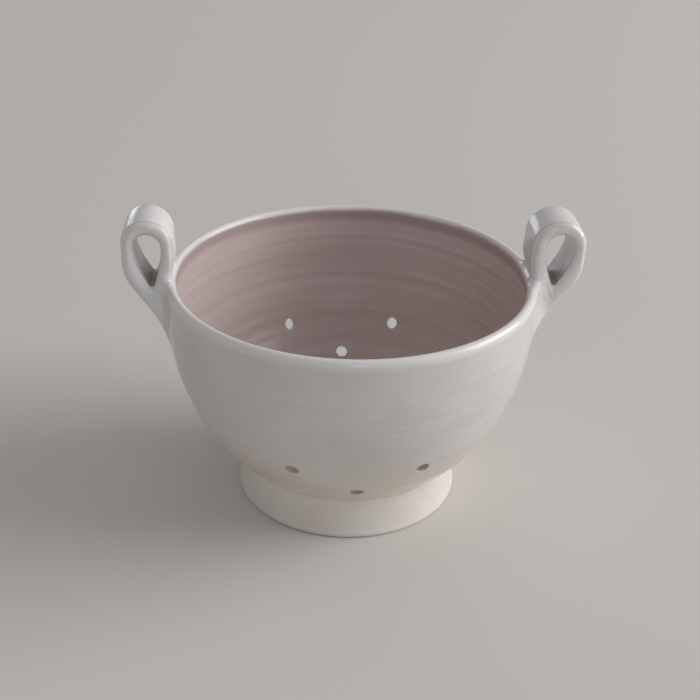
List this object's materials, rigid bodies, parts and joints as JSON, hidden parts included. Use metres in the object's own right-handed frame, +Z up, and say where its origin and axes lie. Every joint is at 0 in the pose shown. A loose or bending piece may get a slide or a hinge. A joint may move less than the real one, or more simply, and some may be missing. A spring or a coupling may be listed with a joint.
{
  "type": "berry colander bowl",
  "caption": "Round deep ceramic bowl on a foot ring, with staggered rows of drain holes low in the wall, drain holes in the floor, and upright folded-strap loop handles at the rim.",
  "frame": {"origin": "on the table under the middle of the foot ring", "axes": "+X through the right handle, +Y away from the side that the picture shows, +Z up along the bowl's axis"},
  "size_m": [0.197, 0.16, 0.1335],
  "materials": {
    "bowl_glaze": "gloss glaze, white outside and dusty pink inside",
    "foot_slip": "satin, thin glaze with pinholes",
    "handle_glaze": "gloss glaze"
  },
  "bodies": {
    "root": {"bowl": "bowl_glaze", "foot_ring": "foot_slip", "left_handle": "handle_glaze", "right_handle": "handle_glaze"}
  },
  "joints": []
}
